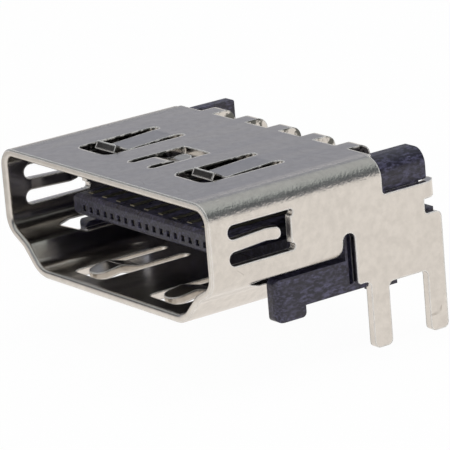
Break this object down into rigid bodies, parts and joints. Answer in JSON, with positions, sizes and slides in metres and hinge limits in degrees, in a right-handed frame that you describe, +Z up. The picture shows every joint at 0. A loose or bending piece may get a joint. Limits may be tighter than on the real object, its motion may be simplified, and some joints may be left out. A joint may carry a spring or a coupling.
{
  "type": "board-mount digital video socket",
  "caption": "Right-angle board socket for a digital video plug: a folded sheet shell with spring fingers and solder legs, and a dark housing whose tongue carries rows of contacts.",
  "frame": {"origin": "on the board's top face, on the centre line, under the rim of the mouth", "axes": "+X to the right of someone who looks into the mouth, +Y from the mouth to the back, +Z up from the board"},
  "size_m": [0.0148, 0.0116, 0.008],
  "materials": {
    "plated_sheet": "bright nickel-plated sheet, drawn grain, light handling marks",
    "moulded_plastic": "glass-filled moulding, fine matt grain, bluish black",
    "contact_plating": "thin dull gold over copper alloy"
  },
  "bodies": {
    "root": {"shell": "plated_sheet", "housing": "moulded_plastic", "contact_upper_01": "contact_plating", "contact_upper_02": "contact_plating", "contact_upper_03": "contact_plating", "contact_upper_04": "contact_plating", "contact_upper_05": "contact_plating", "contact_upper_06": "contact_plating", "contact_upper_07": "contact_plating", "contact_upper_08": "contact_plating", "contact_upper_09": "contact_plating", "contact_upper_10": "contact_plating", "contact_lower_01": "contact_plating", "contact_lower_02": "contact_plating", "contact_lower_03": "contact_plating", "contact_lower_04": "contact_plating", "contact_lower_05": "contact_plating", "contact_lower_06": "contact_plating", "contact_lower_07": "contact_plating", "contact_lower_08": "contact_plating", "contact_lower_09": "contact_plating"}
  },
  "joints": []
}
